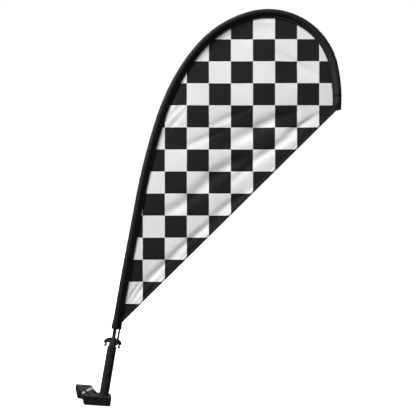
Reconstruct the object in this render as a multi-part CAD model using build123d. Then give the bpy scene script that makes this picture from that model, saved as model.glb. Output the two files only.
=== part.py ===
"""Clip-on teardrop flag: a window clip with a stem, and a bowed pole that carries a flag.

Millimetres. +Z is up along the stem. The origin is the middle of the glass seat, on the
underside of the bridge, where the top edge of the window glass bears. The glass lies in the
XZ plane. -Y is outside the window and +Y is inside it.
"""
from build123d import *
from math import cos, radians, sin
import os

# window clip
glass_gap = 4.5            # slot between the outer jaw and the inner leg
jaw_depth = 8.0            # how far the bar reaches down the outside of the glass
leg_depth = 13.0           # how far the inner leg reaches down the inside
plate_thickness = 3.0
leg_thickness = 3.0
seat_half = 13.8           # half the length of the glass seat
side_skew = 0.24           # how far the left side leans to the left, per mm toward the inside
bar_reach = 36.2           # origin to the bar's right end
bar_depth = 19.4
bar_top = 1.0              # top of the bar above the glass seat
apron_drop = 13.6          # bottom of the front apron below the glass seat
apron_thickness = 3.5
bar_slant = 3.4            # how far the bar's left end leans in at the bottom
apron_corner = 2.5
tray_reach = 20.4          # how far the tray reaches inside the window
tray_back_right = 6.0      # origin to the tray's back right corner, along the glass
tray_back_depth = 5.0
tray_corner = 4.5
bar_corner = 2.5           # front corner of the bar at the stem's end, in plan
bar_back_corner = 7.0
slit_width = 5.0
slit_depth = 3.0           # depth of the slits in the solid bar
left_slit = ((-8.6, 2.0), (3.7, -18.4))
right_slit = ((5.7, 0.9), (16.0, -10.3))
dip_place = (-10.4, -15.0)  # middle of the dip, near the bar's front
dip_turn = 58.0            # direction of the dip, degrees from +X
dip_width = 6.6
edge_round = 0.8

# stem and swivel cup
stem_from_end = 11.8       # stem axis to the right end of the bar
stem_length = 77.6
stem_foot_radius = 7.5
stem_top_radius = 7.3
cup_wall = 1.35
socket_radius = 5.6
socket_depth = 7.0
running_gap = 0.05         # radial clearance of what turns or slides
glue_gap = 0.02            # radial clearance of what is pressed or glued
cup_height = 16.0
cup_floor = 2.5

# hook collar
collar_gap = 0.5           # between the top of the stem and the collar
collar_height = 14.4
collar_foot_radius = 6.1
collar_waist_radius = 5.3
collar_waist_height = 5.6
collar_lip = 0.4           # wall of the collar at its top
spigot_length = 14.0
hook_thickness = 3.2
hook_span = 14.2           # stem axis to the widest point of each hook
hook_ceiling = 6.2         # underside of each hook above the collar's foot
hook_round = 0.6

# bowed pole
pole_turn = -15.0          # direction of the flag about the stem, degrees from +X
lower_rod_radius = 2.85
upper_rod_radius = 2.0
pole_straight = 150.0      # height where the straight foot of the pole ends
pole_bows = [              # radius and turn of each arc, from the stem to the tip
    (2685.0, 1.14),
    (0.0, 116.7),          # a straight run: no radius, and its length
    (1044.0, 7.14),
    (374.0, 11.17),
    (287.0, 12.5),
    (166.0, 33.0),
    (109.4, 93.6),
    (257.0, 13.2),
]
ferrule_height = 268.0     # height of the lower end of the ferrule
ferrule_length = 36.0
ferrule_wall = 0.7
cap_length = 12.0
cap_wall = 1.0
cap_floor = 2.0

# flag
sleeve_start = 108.5       # height of the open lower end of the sleeve
sleeve_ease = 0.5          # between the ferrule and the sleeve
sleeve_wall = 0.8
band_reach = 8.9           # pole axis to the inner edge of the seam band
band_thickness = 1.2
hem_foot = (9.3, 119.5)    # lower end of the hem line, from the stem axis and in height
hem_lean = 35.7            # lean of the hem line from upright, degrees
hem_width = 5.0
hem_thickness = 1.2
cloth_thickness = 0.6
pocket_length = 12.0       # along the pole, to the pole's own end
pocket_side = 9.5          # how far the pocket's outer edge runs on past the pole's end
pocket_seam = 13.9         # the same beside the seam band, where the pocket's end meets the hem
edge_run = 30.0            # how far the edges beside the pole are drawn past its end
pocket_wall = 0.7

# tension cord
cord_radius = 1.35
cord_reach = 7.1           # stem axis to the cord

stem_bore_radius = lower_rod_radius + cup_wall + 2 * running_gap
collar_top_radius = lower_rod_radius + collar_lip
ferrule_radius = lower_rod_radius + glue_gap + ferrule_wall
sleeve_radius = ferrule_radius + sleeve_ease + sleeve_wall

bar_back = -glass_gap / 2
bar_front = bar_back - bar_depth
tray_back = glass_gap / 2 + tray_reach
stem_x = bar_reach - stem_from_end
stem_y = (bar_front + bar_back) / 2
stem_top = bar_top + stem_length
socket_floor = bar_top - socket_depth
cup_bottom = socket_floor + running_gap
pole_foot = cup_bottom + cup_floor
collar_foot = stem_top + collar_gap

stem_place = Pos(stem_x, stem_y, 0)
flag_place = stem_place * Rot(0, 0, pole_turn)
flag_plane = Plane(flag_place * Plane.XZ.location)


def save(shape, name):
    """Write one named piece."""
    export_step(shape, f"parts/{name}.step")


def cylinder(radius, low, high):
    """An upright cylinder on the Z axis between two heights."""
    return Pos(0, 0, (low + high) / 2) * Cylinder(radius, high - low)


def slit(start, end, low):
    """A lens-shaped cut between two points in plan, open at the top."""
    a = Vector(*start)
    b = Vector(*end)
    side = (b - a).normalized().rotate(Axis.Z, 90) * (slit_width / 2)
    middle = (a + b) * 0.5
    edges = ThreePointArc(a, middle + side, b) + ThreePointArc(b, middle - side, a)
    return Pos(0, 0, low) * extrude(make_face(edges), plate_thickness + 10)


def slits(low):
    """The two slits that leave the bridge as springing straps."""
    return slit(*left_slit, low) + slit(*right_slit, low)


def left_side(y):
    """Where the clip's slanting left side stands at a distance across the glass."""
    return -seat_half - side_skew * y


def right_side(y):
    """Where the tray's slanting right side stands at a distance inside the window."""
    return seat_half + (tray_back_right - seat_half) * y / tray_back


def bar_profile():
    """Side view of the bar, the glass seat and the bridge over the slot."""
    bridge_end = glass_gap / 2
    return make_face(Polyline((bar_front, plate_thickness), (bar_front, -jaw_depth), (bar_back, -jaw_depth),
                              (bar_back, 0), (bridge_end, 0), (bridge_end, plate_thickness),
                              (bar_front, plate_thickness)))


def strap_dip():
    """What is cut from the top to lead the straps down from the tray to the bar.

    The dip runs aslant: at its left end it lies near the bar's front, at its right end
    past the glass."""
    half = dip_width / 2
    low = (half, bar_top)
    high = (-half, plate_thickness)
    lines = Polyline(low, (200, bar_top), (200, 20), (-half, 20), high)
    side = make_face(lines + Spline(high, low, tangents=[(1, 0), (1, 0)]))
    turn = radians(dip_turn)
    across = Plane(origin=(*dip_place, 0), x_dir=(sin(turn), -cos(turn), 0),
                   z_dir=(-cos(turn), -sin(turn), 0))
    return extrude(across * side, 100, both=True)


def along_x(face, start, end):
    """Extrude a side view, drawn as Y across and Z up, between two X positions."""
    return extrude(Plane.YZ.offset(start) * face, end - start)


def bar_plan():
    """Plan of the bar and the bridge, with round corners at the stem's end."""
    inside = glass_gap / 2
    outline = Polyline((left_side(bar_front), bar_front), (bar_reach, bar_front), (bar_reach, bar_back),
                       (seat_half, bar_back), (right_side(inside), inside), (left_side(inside), inside),
                       (left_side(bar_front), bar_front))
    face = make_face(outline)
    ends = face.vertices().group_by(Axis.X)[-1].sort_by(Axis.Y)
    face = fillet(ends[0], bar_corner)
    return fillet(face.vertices().filter_by(lambda v: v.X > bar_reach - 0.01).sort_by(Axis.Y)[-1],
                  bar_back_corner)


def clip_body():
    """Bar, outer jaw, front apron, bridge over the glass and the socket for the stem."""
    start = left_side(glass_gap / 2)
    bottom = -apron_drop
    bridge = along_x(bar_profile(), start, seat_half)
    jaw = Pos((bar_front + bar_back) / 2, (bar_top - jaw_depth) / 2) \
        * Rectangle(bar_depth, bar_top + jaw_depth)
    block = along_x(jaw, start, bar_reach)
    apron = along_x(Pos(bar_front + apron_thickness / 2, (bar_top + bottom) / 2)
                    * Rectangle(apron_thickness, bar_top - bottom), start, bar_reach)
    plan = Pos(0, 0, bottom) * extrude(bar_plan(), apron_drop + plate_thickness)
    body = (bridge + block + apron) & plan
    corner = left_side(bar_front)
    lean = make_face(Polyline((corner - 5, 0), (corner, 0), (corner + bar_slant, bottom),
                              (corner - 5, bottom), (corner - 5, 0)))
    body -= extrude(Plane.XZ.offset(-bar_front) * lean, bar_depth + 1, dir=(-side_skew, 1, 0))
    body -= strap_dip()
    body = fillet(body.edges().group_by(Axis.Z)[0].sort_by(Axis.X)[0], apron_corner)
    front = body.edges().filter_by(lambda e: abs(e.center().Y - bar_front) < 0.01)
    body = fillet(front, edge_round)
    body -= slits(bar_top - slit_depth)
    return body - stem_place * cylinder(socket_radius, socket_floor, bar_top + 1)


def tray_plan():
    """Plan of the tray inside the window."""
    front = glass_gap / 2
    outline = Polyline((left_side(front), front), (right_side(front), front),
                       (tray_back_right, tray_back), (left_side(tray_back), tray_back),
                       (left_side(front), front))
    face = make_face(outline)
    corner = face.vertices().sort_by(Axis.Y)[-2:].sort_by(Axis.X)[-1]
    return fillet(corner, tray_corner)


def clip_inner_jaw():
    """Tray inside the window: top plate, skirt and the leg that grips the glass."""
    front = glass_gap / 2
    side = Polyline((front, plate_thickness), (front, -leg_depth), (front + leg_thickness, -leg_depth),
                    (tray_back, -tray_back_depth), (tray_back, plate_thickness),
                    (front, plate_thickness))
    block = along_x(make_face(side), left_side(tray_back), seat_half)
    outer = Pos(0, 0, -leg_depth) * extrude(tray_plan(), leg_depth + plate_thickness)
    hollow = Pos(0, 0, -leg_depth) * extrude(offset(tray_plan(), -leg_thickness), leg_depth)
    tray = (block & outer) - hollow - strap_dip()
    top = tray.edges().group_by(Axis.Z)[-1].filter_by(lambda e: e.center().Y > front + 0.01)
    outside = top.filter_by(lambda e: e.center().X < -seat_half or e.center().Y > tray_back - 0.01)
    return fillet(outside, edge_round * 1.5)


def stem_tube():
    """Tapered tube that holds the pole, with a foot that is pressed into the bar."""
    foot = cylinder(socket_radius - glue_gap, socket_floor + glue_gap, bar_top)
    taper = Pos(0, 0, bar_top + stem_length / 2) * Cone(stem_foot_radius, stem_top_radius, stem_length)
    bore = cylinder(stem_bore_radius, socket_floor - 1, stem_top + 1)
    return stem_place * (foot + taper - bore)


def swivel_cup():
    """Cup that the pole's foot stands in. It turns in the bottom of the stem."""
    cup = cylinder(stem_bore_radius - running_gap, cup_bottom, cup_bottom + cup_height)
    return stem_place * (cup - cylinder(lower_rod_radius + running_gap, pole_foot, stem_top))


def hook_outline():
    """One hook in the flag's plane, as distance from the stem axis and height."""
    roof = collar_foot + hook_ceiling
    back = Spline((2.0, roof + 8.0), (9.5, roof + 6.2), (hook_span, roof + 1.6), (11.0, roof - 3.4))
    foot = Polyline((11.0, roof - 3.4), (11.8, roof - 4.6), (13.9, roof - 4.2), (13.5, roof - 6.4),
                    (10.4, roof - 6.9))
    shank = Spline((10.4, roof - 6.9), (9.0, roof - 4.2), (9.5, roof - 1.4), (8.6, roof))
    root = Polyline((8.6, roof), (5.6, roof), (4.6, roof - 2.2), (2.0, roof - 2.2), (2.0, roof + 8.0))
    return make_face(back + foot + shank + root)


def hook():
    """A rounded flat hook that opens downward, on the tip's side of the collar."""
    face = hook_outline()
    face = fillet(face.vertices().filter_by(lambda v: v.X > 5), hook_round)
    plate = extrude(Plane.XZ * face, hook_thickness / 2, both=True)
    sides = plate.faces().filter_by(Axis.Y)
    return fillet(sides.edges(), hook_round * 0.6)


def hook_collar():
    """Cone with a spigot that turns in the stem, and two hooks for the tension cord."""
    top = collar_foot + collar_height
    profile = Polyline((0, collar_foot), (collar_foot_radius, collar_foot),
                       (collar_waist_radius, collar_foot + collar_waist_height),
                       (collar_top_radius + 0.2, top - 0.4), (collar_top_radius, top), (0, top),
                       (0, collar_foot))
    cone = revolve(Plane.XZ * make_face(profile), Axis.Z)
    spigot = cylinder(stem_bore_radius - running_gap, collar_foot - spigot_length, collar_foot + 1)
    body = cone + spigot + hook() + Rot(0, 0, 180) * hook()
    body -= cylinder(lower_rod_radius + glue_gap, collar_foot - spigot_length - 1, top + 1)
    return flag_place * body


def pole_runs():
    """Length and turn of each run of the pole's axis, from its foot to its tip."""
    runs = [(pole_straight - pole_foot, 0.0)]
    for radius, amount in pole_bows:
        straight = radius == 0.0
        runs.append((amount, 0.0) if straight else (radius * radians(amount), amount))
    return runs


def pole_length():
    """Length of the pole's axis."""
    return sum(length for length, turn in pole_runs())


def advance(point, heading, length, turn):
    """Point and heading after one run, the heading in degrees from upright toward the tip."""
    if turn == 0.0:
        step = Vector(sin(radians(heading)), cos(radians(heading))) * length
        return point + step, heading
    radius = length / radians(turn)
    inward = Vector(cos(radians(heading)), -sin(radians(heading)))
    later = Vector(cos(radians(heading + turn)), -sin(radians(heading + turn)))
    return point + inward * radius - later * radius, heading + turn


def bow_edges(start, end, shift=0.0):
    """Edges beside the pole's axis between two distances from its foot.

    The shift is outward from the bow, and a negative shift is toward the cloth. Past the
    pole's end the edges run straight on."""
    runs = pole_runs() + [(edge_run, 0.0)]
    point = Vector(0, pole_foot)
    heading = 0.0
    done = 0.0
    edges = []
    for length, turn in runs:
        low = max(start, done) - done
        high = min(end, done + length) - done
        if high - low > 1e-6:
            places = []
            for part in (low, (low + high) / 2, high):
                spot, lean = advance(point, heading, part, turn * part / length)
                outward = Vector(-cos(radians(lean)), sin(radians(lean)))
                places.append(spot + outward * shift)
            edges.append(Line(places[0], places[2]) if turn == 0.0 else ThreePointArc(*places))
        point, heading = advance(point, heading, length, turn)
        done += length
    return edges


def along_pole(radius, start, end):
    """A round bar on the pole's axis between two distances from its foot."""
    path = flag_plane * Wire(bow_edges(start, end))
    return sweep(Plane(origin=path @ 0, z_dir=path % 0) * Circle(radius), path)


def beside_pole(start, outer_end, inner_end, outer, inner):
    """The area between two shifts from the pole's axis, in the flag's plane."""
    far = bow_edges(start, outer_end, outer)
    near = bow_edges(start, inner_end, inner)
    ends = [Line(far[0] @ 0, near[0] @ 0), Line(far[-1] @ 1, near[-1] @ 1)]
    return make_face(far + near + ends)


def flat_piece(face, thickness):
    """A flat piece centred on the flag's plane."""
    return flag_plane * (Pos(0, 0, -thickness / 2) * extrude(face, thickness))


def above_hem(margin):
    """The area on the pole's side of the hem line, drawn back from it by a margin."""
    lean = radians(hem_lean)
    along = Vector(sin(lean), cos(lean))
    inward = Vector(-cos(lean), sin(lean))
    foot = Vector(*hem_foot) + inward * margin
    low = foot - along * 200
    high = foot + along * 1000
    return make_face(Polyline(low, high, high + inward * 1000, low + inward * 1000, low))


def rod_end():
    """Distance from the pole's foot to its tip end."""
    return pole_length() - cap_floor


def lower_rod():
    """Stiff lower section of the pole."""
    return along_pole(lower_rod_radius, 0, ferrule_height + ferrule_length / 2 - pole_foot)


def upper_rod():
    """Springy upper section of the pole."""
    return along_pole(upper_rod_radius, ferrule_height + ferrule_length / 2 - pole_foot, rod_end())


def rod_ferrule():
    """Metal ferrule that joins the two sections of the pole."""
    low = ferrule_height - pole_foot
    middle = low + ferrule_length / 2
    high = low + ferrule_length
    shell = along_pole(ferrule_radius, low, high)
    shell -= along_pole(lower_rod_radius + glue_gap, low, middle)
    return shell - along_pole(upper_rod_radius + glue_gap, middle, high)


def rod_tip_cap():
    """Plastic cap on the tip of the pole, inside the pocket."""
    radius = upper_rod_radius + glue_gap + cap_wall
    shell = along_pole(radius, pole_length() - cap_length, pole_length())
    end = shell.edges().filter_by(GeomType.CIRCLE).sort_by(Axis.Z)[0]
    return fillet(end, cap_wall * 0.9) - along_pole(upper_rod_radius + glue_gap,
                                                    pole_length() - cap_length, rod_end())


def sleeve_end():
    """Distance from the pole's foot to where the tip pocket begins."""
    return pole_length() - pocket_length


def pole_sleeve():
    """Cloth sleeve around the pole."""
    start = sleeve_start - pole_foot
    tube = along_pole(sleeve_radius, start, sleeve_end())
    return tube - along_pole(sleeve_radius - sleeve_wall, start, sleeve_end())


def sleeve_band():
    """Flat seam band that joins the sleeve to the flag."""
    face = beside_pole(sleeve_start - pole_foot, sleeve_end(), sleeve_end(), -sleeve_radius, -band_reach)
    return flat_piece(face, band_thickness)


def inside_band(margin):
    """The area between the band and the hem line."""
    start = sleeve_start - pole_foot
    curve = bow_edges(start, pole_length() + edge_run, -band_reach)
    face = make_face(curve + [Line(curve[0] @ 0, curve[-1] @ 1)])
    return face & above_hem(margin)


def flag_cloth():
    """The flag's cloth, between the seam band, the pocket and the hem."""
    return flat_piece(inside_band(hem_width), cloth_thickness)


def flag_hem():
    """The folded hem along the straight edge of the flag."""
    return flat_piece(inside_band(0) - above_hem(hem_width), hem_thickness)


def tip_pocket():
    """Reinforced pocket that takes the capped tip of the pole.

    Its end is cut nearly square to the pole, and its inner corner runs out to the hem."""
    start = sleeve_end()
    end = pole_length()
    square = beside_pole(start, end + pocket_side, end + pocket_seam, sleeve_radius, -band_reach)
    corner = beside_pole(start, end + edge_run, end + edge_run, sleeve_radius, -band_reach)
    inner = upper_rod_radius + glue_gap + cap_wall + running_gap
    block = flat_piece(square + (corner & above_hem(0)), 2 * (inner + pocket_wall))
    return block - along_pole(inner, start, end + running_gap)


def tension_cord():
    """Elastic cord from the sleeve, round the root of one hook and back."""
    ceiling = collar_foot + hook_ceiling
    apart = hook_thickness / 2 + cord_radius + glue_gap
    bottom = ceiling - cord_radius - glue_gap
    close = cord_radius + glue_gap
    route = [(close, sleeve_start), (apart, ceiling + 7), (apart, bottom), (-apart, bottom),
             (-apart, ceiling + 7), (-close, sleeve_start)]
    across = Plane(flag_place * Plane.YZ.offset(cord_reach).location)
    bend = cord_radius * 1.45
    path = across * FilletPolyline(*route, radius=[20, bend, bend, 20])
    return sweep(Plane(origin=path @ 0, z_dir=path % 0) * Circle(cord_radius), path)


os.makedirs("parts", exist_ok=True)
save(clip_body(), "clip_body")
save(clip_inner_jaw(), "clip_inner_jaw")
save(stem_tube(), "stem_tube")
save(swivel_cup(), "swivel_cup")
save(hook_collar(), "hook_collar")
save(lower_rod(), "lower_rod")
save(upper_rod(), "upper_rod")
save(rod_ferrule(), "rod_ferrule")
save(rod_tip_cap(), "rod_tip_cap")
save(pole_sleeve(), "pole_sleeve")
save(sleeve_band(), "sleeve_band")
save(flag_cloth(), "flag_cloth")
save(flag_hem(), "flag_hem")
save(tip_pocket(), "tip_pocket")
save(tension_cord(), "tension_cord")
print("pole length", round(pole_length(), 1))
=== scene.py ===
"""Clip-on teardrop flag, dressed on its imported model, in metres and in the model's own frame."""
from math import cos, pi, radians, sin

import bpy
import numpy as np
from mathutils import Matrix, Vector


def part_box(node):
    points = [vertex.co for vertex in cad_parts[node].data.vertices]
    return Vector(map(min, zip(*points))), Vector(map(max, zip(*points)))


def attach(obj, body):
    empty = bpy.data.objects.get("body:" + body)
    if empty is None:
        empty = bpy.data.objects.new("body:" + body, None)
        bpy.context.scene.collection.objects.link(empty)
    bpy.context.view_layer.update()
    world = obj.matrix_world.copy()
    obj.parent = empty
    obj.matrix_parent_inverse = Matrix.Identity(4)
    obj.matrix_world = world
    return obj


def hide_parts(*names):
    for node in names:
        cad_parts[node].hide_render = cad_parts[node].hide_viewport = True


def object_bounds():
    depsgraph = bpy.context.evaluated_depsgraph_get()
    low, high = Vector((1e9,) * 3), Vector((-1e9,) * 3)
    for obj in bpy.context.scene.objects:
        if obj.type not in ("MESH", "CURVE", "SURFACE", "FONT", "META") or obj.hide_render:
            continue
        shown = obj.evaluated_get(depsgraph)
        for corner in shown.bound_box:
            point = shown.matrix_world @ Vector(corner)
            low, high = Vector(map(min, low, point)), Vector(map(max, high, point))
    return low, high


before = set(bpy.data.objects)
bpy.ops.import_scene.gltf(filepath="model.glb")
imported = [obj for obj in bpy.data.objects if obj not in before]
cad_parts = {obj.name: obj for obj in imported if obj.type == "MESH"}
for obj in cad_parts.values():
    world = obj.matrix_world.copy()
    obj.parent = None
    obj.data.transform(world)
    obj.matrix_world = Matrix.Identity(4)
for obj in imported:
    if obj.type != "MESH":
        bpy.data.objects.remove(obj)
cad_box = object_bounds()

# The view: level and square to the flag's face, rolled so that the stem leans to the right.
# The flag hangs in an upright plane through the stem's axis, turned 15 degrees from the glass.
STEM_LOW, STEM_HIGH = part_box("stem_tube")
STEM_AXIS = Vector(((STEM_LOW[0] + STEM_HIGH[0]) / 2, (STEM_LOW[1] + STEM_HIGH[1]) / 2, 0.0))
TURN = radians(-15)
TOWARD_TIP = Vector((cos(TURN), sin(TURN), 0.0))
OFF_FACE = Vector((sin(TURN), -cos(TURN), 0.0))
UP = Vector((0.0, 0.0, 1.0))


def spot(reach, height, off=0.0):
    """A place by its reach from the stem's axis, its height and how far it stands off the flag."""
    return STEM_AXIS + TOWARD_TIP * reach + UP * height + OFF_FACE * off


ROLL = radians(9.6)
VIEW_RIGHT = TOWARD_TIP * cos(ROLL) + UP * sin(ROLL)
VIEW_UP = UP * cos(ROLL) - TOWARD_TIP * sin(ROLL)
VIEW_MIDDLE = spot(0.1143, 0.3234)
VIEW_DISTANCE = 0.864
camera = bpy.data.objects.new("view", bpy.data.cameras.new("view"))
camera.data.lens = 46.73
camera.data.sensor_width = 36.0
turned = Matrix((VIEW_RIGHT, VIEW_UP, OFF_FACE)).transposed().to_4x4()
camera.matrix_world = Matrix.Translation(VIEW_MIDDLE + OFF_FACE * VIEW_DISTANCE) @ turned
bpy.context.scene.collection.objects.link(camera)
bpy.context.scene.camera = camera


# The tension cord: a loop of braided black elastic, sewn into the open end of the sleeve. It
# passes under the hook on the tip's side of the collar and pulls the sleeve down the pole.
class Value:
    """An output of a shader node that can be used in sums."""

    def __init__(self, finish, socket):
        self.finish = finish
        self.socket = socket

    def math(self, operation, *others):
        return self.finish.math(operation, self, *others)

    def __add__(self, other):
        return self.math("ADD", other)

    def __sub__(self, other):
        return self.math("SUBTRACT", other)

    def __mul__(self, other):
        return self.math("MULTIPLY", other)

    def __rsub__(self, other):
        return self.finish.math("SUBTRACT", other, self)

    __radd__ = __add__
    __rmul__ = __mul__


class Finish:
    """A material in the making, with the shader whose sockets it fills."""

    def __init__(self, name, **constants):
        self.material = bpy.data.materials.new(name)
        self.material.use_nodes = True
        self.tree = self.material.node_tree
        self.shader = self.tree.nodes["Principled BSDF"]
        for key, value in constants.items():
            self.shader.inputs[key.replace("_", " ").title().replace("Ior", "IOR")].default_value = value
        self.place = self.node("ShaderNodeTexCoord", out="Object")

    def node(self, kind, settings=None, out=0, **sockets):
        """Any node: its settings first, then its sockets by name, or by number as s0, s1."""
        made = self.tree.nodes.new(kind)
        for key, value in (settings or {}).items():
            setattr(made, key, value)
        for key, value in sockets.items():
            socket = made.inputs[int(key[1:]) if key[1:].isdigit() else key]
            if isinstance(value, Value):
                self.tree.links.new(value.socket, socket)
            else:
                socket.default_value = value
        return Value(self, made.outputs[out])

    def math(self, operation, *values):
        return self.node("ShaderNodeMath", {"operation": operation},
                         **{f"s{i}": value for i, value in enumerate(values)})

    def along(self, direction, start=(0, 0, 0)):
        """Distance from a starting place along a direction, in metres."""
        moved = self.node("ShaderNodeVectorMath", {"operation": "SUBTRACT"},
                          s0=self.place, s1=tuple(start))
        return self.node("ShaderNodeVectorMath", {"operation": "DOT_PRODUCT"}, "Value",
                         s0=moved, s1=tuple(direction))

    def stretched(self, x, y, z):
        """The place on the piece, drawn out or squeezed along each direction."""
        return self.node("ShaderNodeVectorMath", {"operation": "MULTIPLY"}, s0=self.place, s1=(x, y, z))

    def noise(self, scale, detail=2.0, where=None):
        return self.node("ShaderNodeTexNoise", Vector=where or self.place, Scale=scale, Detail=detail)

    def wave(self, distance, pitch):
        """Rises and falls between -1 and 1 once in each pitch."""
        return (distance * (2 * pi / pitch)).math("SINE")

    def step(self, value, low, high):
        """0 below low, 1 above high, and smooth between them."""
        return self.node("ShaderNodeMapRange", {"interpolation_type": "SMOOTHSTEP"},
                         s0=value, s1=low, s2=high)

    def mix(self, share, first, second):
        """A colour between two colours."""
        return self.node("ShaderNodeMix", {"data_type": "RGBA"}, 2, s0=share,
                         s6=first, s7=second)

    def feed(self, socket, value):
        self.tree.links.new(value.socket, self.shader.inputs[socket])

    def relief(self, height, depth):
        """Raises the surface by a height from 0 to 1 of a depth in metres."""
        self.feed("Normal", self.node("ShaderNodeBump", Height=height, Distance=depth))


def grey(value, tint=0.0):
    """A dark or light neutral colour, a touch blue if tinted."""
    return (value, value, value * (1 + tint), 1.0)


elastic = Finish("braided_elastic", roughness=0.6, sheen_weight=0.25)
rise = elastic.along((0, 0, 1))
round_way = elastic.along(OFF_FACE)
braid = elastic.wave(rise + round_way * 0.8, 0.0011) * elastic.wave(rise - round_way * 0.8, 0.0011)
elastic.feed("Base Color", elastic.mix(braid * 0.5 + 0.5, grey(0.006), grey(0.03)))
elastic.feed("Roughness", 0.5 + 0.2 * elastic.noise(900))
elastic.relief(braid * 0.5 + 0.5, 0.00015)

CORD_REACH = 0.0071
CORD_THICKNESS = 0.0027
CORD_ROUTE = ((0.00137, 0.1100), (0.00290, 0.0923), (0.00305, 0.0832), (-0.00305, 0.0832),
              (-0.00290, 0.0923), (-0.00137, 0.1100))
line = bpy.data.curves.new("tension_loop", "CURVE")
line.dimensions = "3D"
loop = line.splines.new("NURBS")
loop.points.add(len(CORD_ROUTE) - 1)
for point, (off, height) in zip(loop.points, CORD_ROUTE):
    point.co = (*spot(CORD_REACH, height, off), 1.0)
loop.order_u = 3
loop.use_endpoint_u = True
loop.resolution_u = 16
line.bevel_depth = CORD_THICKNESS / 2
line.bevel_resolution = 6
line.use_fill_caps = True
line.materials.append(elastic.material)
tension_loop = bpy.data.objects.new("tension_loop", line)
bpy.context.scene.collection.objects.link(tension_loop)
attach(tension_loop, "pole")
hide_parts("tension_cord")
first_off, first_height = CORD_ROUTE[0]
tuple(spot(CORD_REACH, first_height, first_off))


# The window clip: one moulding in glossy black plastic, with a hooked bar outside the glass and
# a flat tray inside it. Fine mould grain, faint flow marks and hairline scratches from use.
def coat(node, finish):
    """Gives a finish to one of the model's own pieces."""
    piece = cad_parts[node]
    piece.data.materials.clear()
    piece.data.materials.append(finish.material)


gloss = Finish("moulded_clip_plastic", specular_ior_level=0.55)
grain = gloss.noise(2600, 3)
flow = gloss.noise(70, 3)
hairs = gloss.noise(300, 2, gloss.stretched(0.15, 3.0, 2.0))
scratch = gloss.step(hairs, 0.68, 0.74)
gloss.feed("Base Color", gloss.mix(flow, grey(0.013), grey(0.023, 0.04)))
gloss.feed("Roughness", 0.22 + 0.12 * flow + 0.22 * scratch)
gloss.relief(grain * 0.35 + flow * 0.5 - scratch * 0.4, 0.00006)
coat("clip_body", gloss)
coat("clip_inner_jaw", gloss)

# The stem: a tapering moulded tube, blind at its foot, that stands in the end of the bar. Its
# surface shows the fine upright marks left as it was drawn out of its mould.
drawn = Finish("moulded_stem_plastic", specular_ior_level=0.5)
draw = drawn.noise(900, 2, drawn.stretched(1.0, 1.0, 0.03))
cloud = drawn.noise(120, 2)
drawn.feed("Base Color", drawn.mix(cloud, grey(0.013), grey(0.023, 0.03)))
drawn.feed("Roughness", 0.30 + 0.14 * draw)
drawn.relief(draw * 0.6 + cloud * 0.2, 0.00005)
coat("stem_tube", drawn)

# The swivel cup: a small matt plastic thimble at the bottom of the stem's bore. The pole stands
# in it, and it turns in the bore as the flag swings round. The cap pushed on the pole's tip is
# made of the same plastic.
matt = Finish("matt_cup_plastic", specular_ior_level=0.4)
speckle = matt.noise(1800, 3)
rub = matt.step(matt.noise(260, 2), 0.55, 0.7)
matt.feed("Base Color", matt.mix(rub, grey(0.012), grey(0.035)))
matt.feed("Roughness", 0.62 - 0.2 * rub)
matt.relief(speckle, 0.00005)
coat("swivel_cup", matt)
coat("rod_tip_cap", matt)

# The hook collar: a moulded cone with a spigot that turns in the stem and two open hooks. It is
# glued on the pole, and the loop of elastic goes round the root of one hook.
satin = Finish("moulded_collar_plastic", specular_ior_level=0.5)
pebble = satin.noise(2200, 3)
patch = satin.noise(160, 2)
satin.feed("Base Color", satin.mix(patch, grey(0.012), grey(0.021)))
satin.feed("Roughness", 0.32 + 0.16 * patch)
satin.relief(pebble * 0.6 + patch * 0.3, 0.00006)
coat("hook_collar", satin)

# The pole: two drawn glass-fibre rods, a stiff lower one and a thin springy upper one, joined
# by a short steel ferrule. Long fibres lie just under the black resin.
resin = Finish("glass_fibre_rod", specular_ior_level=0.5)
fibre = resin.noise(2400, 3, resin.stretched(1.0, 1.0, 0.012))
resin.feed("Base Color", resin.mix(fibre, grey(0.006), grey(0.024)))
resin.feed("Roughness", 0.34 + 0.18 * fibre)
resin.relief(fibre, 0.00004)
coat("lower_rod", resin)
coat("upper_rod", resin)
steel = Finish("drawn_ferrule_steel", metallic=1.0)
lines = steel.noise(1500, 2, steel.stretched(1.0, 1.0, 0.04))
dull = steel.noise(140, 2)
steel.feed("Base Color", steel.mix(dull, grey(0.42), grey(0.58, 0.02)))
steel.feed("Roughness", 0.26 + 0.16 * lines)
steel.relief(lines, 0.00003)
coat("rod_ferrule", steel)


# The sleeve: a strip of black woven polyester folded over the pole and sewn down beside it as a
# flat seam band with two rows of stitches. Its open lower end is hemmed and flares a little.
POLE_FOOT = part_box("lower_rod")[0][2]
BOW_START = 0.150
# The radius and length of each run of the pole from its foot. A straight run has no radius.
POLE_RUNS = [(0.0, BOW_START - POLE_FOOT), (2.685, 2.685 * radians(1.14)), (0.0, 0.1167),
             (1.044, 1.044 * radians(7.14)), (0.374, 0.374 * radians(11.17)),
             (0.287, 0.287 * radians(12.5)), (0.166, 0.166 * radians(33.0)),
             (0.1094, 0.1094 * radians(93.6)), (0.257, 0.257 * radians(13.2))]
POLE_LENGTH = sum(length for radius, length in POLE_RUNS)
SLEEVE_START = 0.1085 - POLE_FOOT
SLEEVE_END = POLE_LENGTH - 0.012
SLEEVE_RADIUS = 0.00485
SLEEVE_THICKNESS = 0.00045
SLEEVE_WRAP = 148
FLARE_SHARE = 0.22
FLARE_LENGTH = 0.013
TIGHT_FROM = 0.55
TIGHT_OVER = 0.2
BAND_REACH = 0.0089


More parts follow.
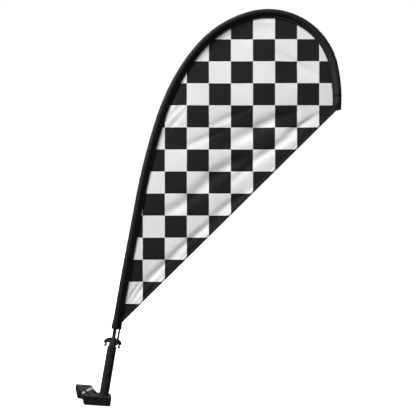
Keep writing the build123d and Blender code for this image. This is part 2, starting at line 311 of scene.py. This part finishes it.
def bow(distance, shift=0.0):
    """Reach, height and lean beside the pole, a distance along its axis from its foot."""
    reach, height, lean, left = 0.0, POLE_FOOT, 0.0, distance
    for radius, length in POLE_RUNS + [(0.0, 1.0)]:
        part = min(left, length)
        if radius:
            later = lean + part / radius
            reach += radius * (cos(lean) - cos(later))
            height += radius * (sin(later) - sin(lean))
            lean = later
        else:
            reach += part * sin(lean)
            height += part * cos(lean)
        left -= part
    return reach - shift * cos(lean), height + shift * sin(lean), lean


def ripple(value, pitch, seed):
    """A smooth irregular wave between about -1 and 1."""
    dice = np.random.default_rng(seed)
    total = 0.0
    for power in (1.0, 0.7, 0.45):
        total = total + power * np.sin(value / (pitch * power) * 2 * pi + dice.uniform(0, 6.3))
    return total / 2.15


def cloth_piece(name, rows, finish, replaced, thickness=0.0, loop=False, ways=None):
    """A sewn piece through rows of points. Its ways are the cloth's along and across distances."""
    rows = np.array(rows, dtype=float)
    count, across = rows.shape[:2]
    faces = []
    for i in range(count - 1):
        for j in range(across if loop else across - 1):
            k = (j + 1) % across
            faces.append((i * across + j, i * across + k, (i + 1) * across + k, (i + 1) * across + j))
    mesh = bpy.data.meshes.new(name)
    mesh.from_pydata(rows.reshape(-1, 3).tolist(), [], faces)
    mesh.polygons.foreach_set("use_smooth", [True] * len(faces))
    if ways is not None:
        layer = mesh.uv_layers.new(name="ways")
        ways = np.array(ways, dtype=float).reshape(-1, 2)
        corners = np.empty(len(mesh.loops), dtype=int)
        mesh.loops.foreach_get("vertex_index", corners)
        layer.data.foreach_set("uv", ways[corners].ravel())
    mesh.materials.append(finish.material)
    piece = bpy.data.objects.new(name, mesh)
    bpy.context.scene.collection.objects.link(piece)
    if thickness:
        solid = piece.modifiers.new("thickness", "SOLIDIFY")
        solid.thickness = thickness
        solid.offset = -1.0
    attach(piece, "pole")
    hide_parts(*replaced)
    return piece


STITCH_LENGTH = 0.0026
STITCH_GAP = 0.0009
THREAD_RADIUS = 0.00022
# Places along a stitch, and how far the thread stands off the cloth there, in its own radii.
STITCH_SHAPE = ((0.0, -1.2), (0.18, 0.1), (0.5, 0.35), (0.82, 0.1), (1.0, -1.2))


def stitch_rows(name, runs, finish):
    """Six-sided thread stitches along runs of (point, way off the cloth), dipping in at their ends."""
    points, faces = [], []
    for run in runs:
        places = np.array([list(p) for p, off in run])
        offs = np.array([list(off) for p, off in run])
        steps = np.r_[0, np.cumsum(np.linalg.norm(np.diff(places, axis=0), axis=1))]
        for start in np.arange(STITCH_GAP, steps[-1] - STITCH_LENGTH, STITCH_LENGTH + STITCH_GAP):
            spine, away = [], []
            for share, lift in STITCH_SHAPE:
                at = start + share * STITCH_LENGTH
                spine.append([np.interp(at, steps, places[:, i]) for i in range(3)])
                away.append([np.interp(at, steps, offs[:, i]) for i in range(3)])
            spine, away = np.array(spine), np.array(away)
            way = spine[-1] - spine[0]
            way /= np.linalg.norm(way)
            first = len(points)
            for centre, off, (share, lift) in zip(spine, away, STITCH_SHAPE):
                side = np.cross(way, off)
                for turn in range(6):
                    angle = turn * pi / 3
                    ring = side * cos(angle) + off * sin(angle)
                    points.append(list(centre + off * THREAD_RADIUS * lift + ring * THREAD_RADIUS))
            for ring in range(4):
                for turn in range(6):
                    a = first + ring * 6 + turn
                    b = first + ring * 6 + (turn + 1) % 6
                    faces.append((a, b, b + 6, a + 6))
    mesh = bpy.data.meshes.new(name)
    mesh.from_pydata(points, [], faces)
    mesh.polygons.foreach_set("use_smooth", [True] * len(faces))
    mesh.materials.append(finish.material)
    piece = bpy.data.objects.new(name, mesh)
    bpy.context.scene.collection.objects.link(piece)
    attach(piece, "pole")
    return piece


def plain_weave(finish, pitch):
    """Over-and-under threads in the cloth's own ways, from 0 in the gaps to 1 on the threads."""
    ways = finish.node("ShaderNodeUVMap", {"uv_map": "ways"})
    split = finish.tree.nodes.new("ShaderNodeSeparateXYZ")
    finish.tree.links.new(ways.socket, split.inputs[0])
    warp = finish.wave(Value(finish, split.outputs[0]), pitch)
    weft = finish.wave(Value(finish, split.outputs[1]), pitch)
    return warp * weft * 0.5 + 0.5


black_weave = Finish("black_sleeve_polyester", sheen_weight=0.04, sheen_roughness=0.4,
                     specular_ior_level=0.2)
threads = plain_weave(black_weave, 0.0009)
lint = black_weave.noise(420, 4)
fade = black_weave.noise(25, 2)
black_weave.feed("Base Color", black_weave.mix(threads * 0.6 + lint * 0.4, grey(0.006), grey(0.014, 0.03)))
black_weave.feed("Roughness", 0.5 + 0.2 * fade + 0.1 * threads)
black_weave.relief(threads * 0.7 + lint * 0.5, 0.00012)
thread = Finish("black_sewing_thread", specular_ior_level=0.5)
twist = thread.noise(3000, 2)
thread.feed("Base Color", thread.mix(twist, grey(0.008), grey(0.035)))
thread.feed("Roughness", 0.4 + 0.2 * twist)
thread.relief(twist, 0.00006)

sleeve_rows, sleeve_ways, front_inner, front_outer, back_inner, back_outer = [], [], [], [], [], []
for distance in np.linspace(SLEEVE_START, SLEEVE_END, 410):
    reach, height, lean = bow(distance)
    outward = UP * sin(lean) - TOWARD_TIP * cos(lean)
    from_end = distance - SLEEVE_START
    flare = 1.0 + FLARE_SHARE * np.exp(-(from_end / FLARE_LENGTH) ** 2)
    tight = min(1.0, max(0.0, (distance - TIGHT_FROM) / TIGHT_OVER))
    row, way = [], []
    section = [(-BAND_REACH, 0.00062), (-0.0079, 0.00072), (-0.0068, 0.00074), (-0.0059, 0.00084),
               (-0.0052, 0.0013)]
    for step in range(13):
        angle = radians(SLEEVE_WRAP - step * SLEEVE_WRAP / 6)
        drawn_in = 1.0 - 0.05 * (cos(angle) < 0)
        section.append((SLEEVE_RADIUS * cos(angle) * drawn_in, SLEEVE_RADIUS * sin(angle)))
    section += [(p, -n) for p, n in reversed(section[:5])]
    run = 0.0
    for index, (out, off) in enumerate(section):
        inner = 1.0 if out < 0 else 0.35
        pucker = (0.00016 + 0.0002 * tight) * ripple(distance, 0.0075, 5) * inner
        pucker += 0.00012 * ripple(distance + index * 0.0011, 0.021, 9)
        bulge = 1.0 + pucker / SLEEVE_RADIUS
        wide = flare if out > -0.0055 else 1.0 + (flare - 1.0) * 0.5
        row.append(spot(reach, height) + outward * out * wide * (bulge if out > -0.006 else 1.0)
                   + OFF_FACE * off * (bulge + (wide - 1.0) * 0.8))
        if index:
            run += (row[-1] - row[-2]).length
        way.append((distance, run))
    sleeve_rows.append([list(p) for p in row])
    sleeve_ways.append(way)
    if 0.003 < from_end:
        for rail, out, side in ((front_inner, -0.0078, 1), (front_outer, -0.0064, 1),
                                (back_inner, -0.0078, -1), (back_outer, -0.0064, -1)):
            rail.append((spot(reach, height) + outward * out + OFF_FACE * side * 0.0008, OFF_FACE * side))
sleeve = cloth_piece("sleeve_cloth", sleeve_rows, black_weave, ["pole_sleeve", "sleeve_band"],
                     SLEEVE_THICKNESS, ways=sleeve_ways)
band_stitches = stitch_rows("band_stitches", [front_inner, front_outer, back_inner, back_outer],
                            thread)


# The flag: knitted polyester printed in black and white squares. The bow holds it stretched, so
# it creases in long shallow folds that run beside the hem and fan out toward the sleeve.
HEM_FOOT = (0.0093, 0.1195)
HEM_LEAN = radians(35.7)
HEM_WIDTH = 0.005


def beside_hem(reach, height):
    """Distance along the hem line from its foot, and distance in from it."""
    x, z = reach - HEM_FOOT[0], height - HEM_FOOT[1]
    return x * sin(HEM_LEAN) + z * cos(HEM_LEAN), z * sin(HEM_LEAN) - x * cos(HEM_LEAN)


def on_hem(along, inside):
    """Reach and height of a place by its distances along and in from the hem line."""
    return (HEM_FOOT[0] + along * sin(HEM_LEAN) - inside * cos(HEM_LEAN),
            HEM_FOOT[1] + along * cos(HEM_LEAN) + inside * sin(HEM_LEAN))


# Each fold: its depth and half width in millimetres, then places along and in from the hem.
FOLDS = [
    (-1.20, 3.0, (22, 11), (50, 15), (70, 18), (104, 15)),
    (-0.92, 2.2, (20, 17), (48, 22), (72, 27)),
    (-1.47, 3.4, (66, 23), (115, 18), (152, 11)),
    (-1.47, 3.6, (112, 22), (166, 17), (205, 10)),
    (-1.47, 3.8, (160, 21), (211, 14), (240, 9)),
    (-1.47, 4.0, (212, 20), (261, 14), (292, 8)),
    (-1.84, 4.6, (250, 40), (287, 37), (334, 35), (376, 27), (417, 21), (465, 11)),
    (-1.15, 3.0, (392, 32), (419, 25), (462, 16)),
    (-2.21, 6.5, (160, 77), (176, 73), (214, 64), (250, 52)),
    (-2.39, 7.0, (212, 74), (226, 68), (263, 62), (304, 48)),
    (-2.30, 6.5, (258, 74), (271, 69), (306, 57), (348, 42)),
    (-2.21, 6.5, (316, 88), (333, 81), (367, 69), (404, 52)),
    (-2.02, 6.0, (360, 78), (372, 73), (406, 59), (440, 40)),
    (-1.29, 4.2, (258, 133), (276, 127), (310, 113), (348, 98)),
    (-1.29, 4.2, (312, 127), (329, 121), (359, 111), (392, 98)),
    (-0.74, 3.0, (250, 166), (271, 167), (316, 170)),
    (-0.64, 2.6, (262, 180), (290, 181), (330, 180)),
    (-1.93, 5.0, (482, 140), (486, 111), (490, 91), (497, 57)),
    (-1.20, 2.2, (486, 192), (490, 158)),
    (-0.92, 2.0, (494, 190), (498, 155)),
    (-1.10, 2.4, (458, 203), (462, 173)),
]
SQUARE_SIDE = 0.03528
PRINT_RIGHT = 0.0720
PRINT_UP = 0.2701


def folded(along, inside, edge):
    """How far the cloth stands off its plane: its folds, and a slow billow between its edges."""
    off = 0.0006 * ripple(along * 0.7 + inside, 0.19, 3) + 0.0008 * ripple(along - 0.8 * inside, 0.33, 4)
    for depth, half, *places in FOLDS:
        places = np.array(places) / 1000
        lengths = np.linalg.norm(np.diff(places, axis=0), axis=1)
        best = np.full(along.shape, 1.0)
        share = np.zeros(along.shape)
        done = 0.0
        for first, second, length in zip(places[:-1], places[1:], lengths):
            way = (second - first) / length
            part = np.clip((along - first[0]) * way[0] + (inside - first[1]) * way[1], 0, length)
            apart = np.hypot(along - first[0] - part * way[0], inside - first[1] - part * way[1])
            nearer = apart < best
            best = np.where(nearer, apart, best)
            share = np.where(nearer, (done + part) / lengths.sum(), share)
            done += length
        width = half / 1000
        off = off + depth / 1000 * np.exp(-0.5 * (best / width) ** 2) * np.sin(pi * share) ** 0.8
    held = np.clip(edge / 0.012, 0, 1) * np.clip((inside - 0.003) / 0.006, 0, 1)
    return off * held * held * (3 - 2 * held)


def printed(finish, weave):
    """The print: squares of black ink on white cloth, with the ink a little open on the knit."""
    across = finish.along(VIEW_RIGHT, VIEW_MIDDLE + VIEW_RIGHT * PRINT_RIGHT)
    upward = finish.along(VIEW_UP, VIEW_MIDDLE + VIEW_UP * PRINT_UP)
    squares = finish.wave(across, 2 * SQUARE_SIDE) * finish.wave(upward, 2 * SQUARE_SIDE)
    spread = (finish.noise(1500, 2) - 0.5) * 0.02
    white = finish.step(squares + spread, -0.008, 0.008)
    mottle = finish.noise(38, 3)
    ink = finish.mix(weave * 0.5 + mottle * 0.5, grey(0.009), grey(0.017, 0.03))
    cloth = finish.mix(mottle, (0.80, 0.80, 0.81, 1), (0.86, 0.86, 0.86, 1))
    finish.feed("Base Color", finish.mix(white, ink, cloth))
    finish.feed("Roughness", 0.5 + 0.12 * mottle + 0.14 * white)


flag_print = Finish("printed_flag_polyester", sheen_weight=0.02, specular_ior_level=0.12)
wales = flag_print.wave(flag_print.along(TOWARD_TIP), 0.0007)
courses = flag_print.wave(flag_print.along(UP), 0.0009)
knit = wales * courses * 0.5 + 0.5
printed(flag_print, knit)
crinkle = flag_print.noise(90, 3)
flag_print.relief(knit * 0.12 + crinkle * 0.6, 0.0005)

# The cloth is ruled between the hem, which it runs under, and the seam band, which it runs into.
HEM_BOTTOM, HEM_TOP = 0.010, 0.482
UNDER_HEM = 0.0035
SEAM_FROM, SEAM_TO = SLEEVE_START + 0.012, POLE_LENGTH - 0.004
INTO_BAND = -0.0078
crossing = np.linspace(0, 1, 130)
rows, edges = [], []
for share in np.linspace(0, 1, 340):
    low = on_hem(HEM_BOTTOM + (HEM_TOP - HEM_BOTTOM) * share, UNDER_HEM)
    high = bow(SEAM_FROM + (SEAM_TO - SEAM_FROM) * share, INTO_BAND)[:2]
    rows.append([(low[0] + (high[0] - low[0]) * v, low[1] + (high[1] - low[1]) * v) for v in crossing])
    gap = np.hypot(high[0] - low[0], high[1] - low[1])
    edges.append([gap * (1 - v) for v in crossing])
rows = np.array(rows)
along, inside = beside_hem(rows[..., 0], rows[..., 1])
off = folded(along, inside, np.array(edges))
points = [[list(spot(x, z, n)) for (x, z), n in zip(line, offs)] for line, offs in zip(rows, off)]
flag = cloth_piece("flag_cloth_stretched", points, flag_print, ["flag_cloth"])


# The hem: the flag's own printed cloth turned over twice along its straight edge and held with
# two rows of stitches, which draw it into small even puckers.
hem_rows, hem_near, hem_far, hem_near_back, hem_far_back = [], [], [], [], []
HEM_LENGTH = 0.492
STITCHED_FROM, STITCHED_TO = 0.004, 0.470
for distance in np.linspace(0.0, HEM_LENGTH, 400):
    pucker = 0.00010 * sin(distance / 0.0035 * 2 * pi) + 0.0002 * ripple(distance, 0.017, 21)
    section = [(HEM_WIDTH, 0.00034), (0.0046, 0.00058), (0.0036, 0.00062 + pucker * 0.5),
               (0.0024, 0.00064 + pucker), (0.0012, 0.00062 + pucker * 0.5), (0.0004, 0.00046),
               (0.0, 0.0)]
    section += [(inside, -off) for inside, off in reversed(section[:-1])]
    wander = 0.0003 * ripple(distance, 0.06, 22)
    hem_rows.append([list(spot(*on_hem(distance, inside), off + wander)) for inside, off in section])
    if STITCHED_FROM < distance < STITCHED_TO:
        for rail, inside, side in ((hem_near, 0.0016, 1), (hem_far, 0.0032, 1),
                                   (hem_near_back, 0.0016, -1), (hem_far_back, 0.0032, -1)):
            rail.append((spot(*on_hem(distance, inside), side * 0.00068 + wander), OFF_FACE * side))
hem = cloth_piece("flag_hem_folded", hem_rows, flag_print, ["flag_hem"], loop=True)
hem_stitches = stitch_rows("hem_stitches", [hem_near, hem_far, hem_near_back, hem_far_back],
                           thread)


# The tip pocket: doubled black polyester, folded to a point over the capped end of the pole and
# cut off along the hem line. It takes the whole pull of the bow, so it is sewn round.
POCKET_SIDE = POLE_LENGTH + 0.0095
POCKET_END = POLE_LENGTH + 0.0165
POCKET_OUT = 0.0050
END_SLOPE = 3.13
pocket_rows, pocket_ways = [], []
for distance in np.linspace(SLEEVE_END - 0.003, POCKET_END, 70):
    reach, height, lean = bow(distance)
    outward = UP * sin(lean) - TOWARD_TIP * cos(lean)
    hem_cut = beside_hem(reach, height)[1] / -cos(lean - HEM_LEAN)
    end_cut = POCKET_OUT - max(0.0, distance - POCKET_SIDE) * END_SLOPE
    lowest = -BAND_REACH - 0.0002
    highest = max(lowest + 0.0004, min(POCKET_OUT, max(hem_cut, end_cut)))
    past = max(0.0, distance - POLE_LENGTH)
    thick = 0.0009 + 0.0033 * max(0.0, 1 - past / 0.009) ** 1.2
    row, way = [], []
    for turn in range(24):
        angle = pi + turn * 2 * pi / 24
        share = 0.5 + 0.5 * cos(angle)
        out = lowest + (highest - lowest) * share
        round_it = max(0.0, 1 - (out / 0.0052) ** 2) ** 0.5
        half = 0.0008 + max(0.0, thick - 0.0008) * round_it
        half *= min(1.0, abs(sin(angle)) * 3.0)
        row.append(list(spot(reach, height) + outward * out + OFF_FACE * half * (1 if turn < 12 else -1)))
        way.append((distance, out))
    pocket_rows.append(row)
    pocket_ways.append(way)
cloth_piece("tip_pocket_folded", pocket_rows, black_weave, ["tip_pocket"],
            loop=True, ways=pocket_ways)


# The studio: a wide white floor just under the clip, a soft lamp high on the left in front, a weak
# wide one on the right, and one behind on the right. The surround is plain white where it is seen
# and lights the flag more dimly, most from above and least from below.
floor_height = cad_box[0][2] - 0.0005
bpy.ops.mesh.primitive_plane_add(size=60, location=(0, 0, floor_height))
floor = bpy.context.object
floor.name = "studio_floor"
glowing_floor = Finish("white_floor", roughness=0.9, specular_ior_level=0.1)
glowing_floor.shader.inputs["Base Color"].default_value = (0.9, 0.9, 0.9, 1)
# The floor glows with painted light of its own: 0.7 of white within 0.15 m of the clip, so the lamps'
# shadow still shows there, rising to full white from 0.9 m out.
glowing_floor.shader.inputs["Emission Strength"].default_value = 1.0
away = glowing_floor.node("ShaderNodeVectorMath", {"operation": "LENGTH"}, "Value", s0=glowing_floor.place)
glowing_floor.feed("Emission Color", glowing_floor.mix(glowing_floor.step(away, 0.15, 0.9), grey(0.70), grey(1.0)))
floor.data.materials.append(glowing_floor.material)
floor.visible_diffuse = False
floor.visible_glossy = False


def lamp(name, right, up, toward, size, power):
    """A square soft lamp aimed at the middle of the flag, placed as the viewer sees it."""
    light = bpy.data.lights.new(name, "AREA")
    light.size = size
    light.energy = power
    made = bpy.data.objects.new(name, light)
    made.location = VIEW_MIDDLE + VIEW_RIGHT * right + VIEW_UP * up + OFF_FACE * toward
    made.rotation_euler = (VIEW_MIDDLE - made.location).to_track_quat("-Z", "Y").to_euler()
    made.visible_camera = False
    bpy.context.scene.collection.objects.link(made)


lamp("key_lamp", -1.4, 1.5, 0.9, 0.6, 84)
lamp("fill_lamp", 1.6, 0.2, 1.8, 1.2, 6)
lamp("back_lamp", 0.52, 0.43, -1.2, 0.7, 9)
world = bpy.data.worlds.new("white_surround")
world.use_nodes = True
bpy.context.scene.world = world
tree = world.node_tree
seen = tree.nodes.new("ShaderNodeLightPath")
heading = tree.nodes.new("ShaderNodeTexCoord")
split = tree.nodes.new("ShaderNodeSeparateXYZ")
sky = tree.nodes.new("ShaderNodeMapRange")
sky.inputs["From Min"].default_value = -0.3
sky.inputs["To Min"].default_value = 0.03
sky.inputs["To Max"].default_value = 0.34
bright = tree.nodes.new("ShaderNodeMapRange")
bright.inputs["To Max"].default_value = 1.0
tree.links.new(heading.outputs["Generated"], split.inputs[0])
tree.links.new(split.outputs["Z"], sky.inputs["Value"])
tree.links.new(sky.outputs["Result"], bright.inputs["To Min"])
tree.links.new(seen.outputs["Is Camera Ray"], bright.inputs["Value"])
tree.links.new(bright.outputs["Result"], tree.nodes["Background"].inputs["Strength"])
tree.nodes["Background"].inputs["Color"].default_value = (1, 1, 1, 1)
bpy.context.scene.view_settings.view_transform = "Standard"
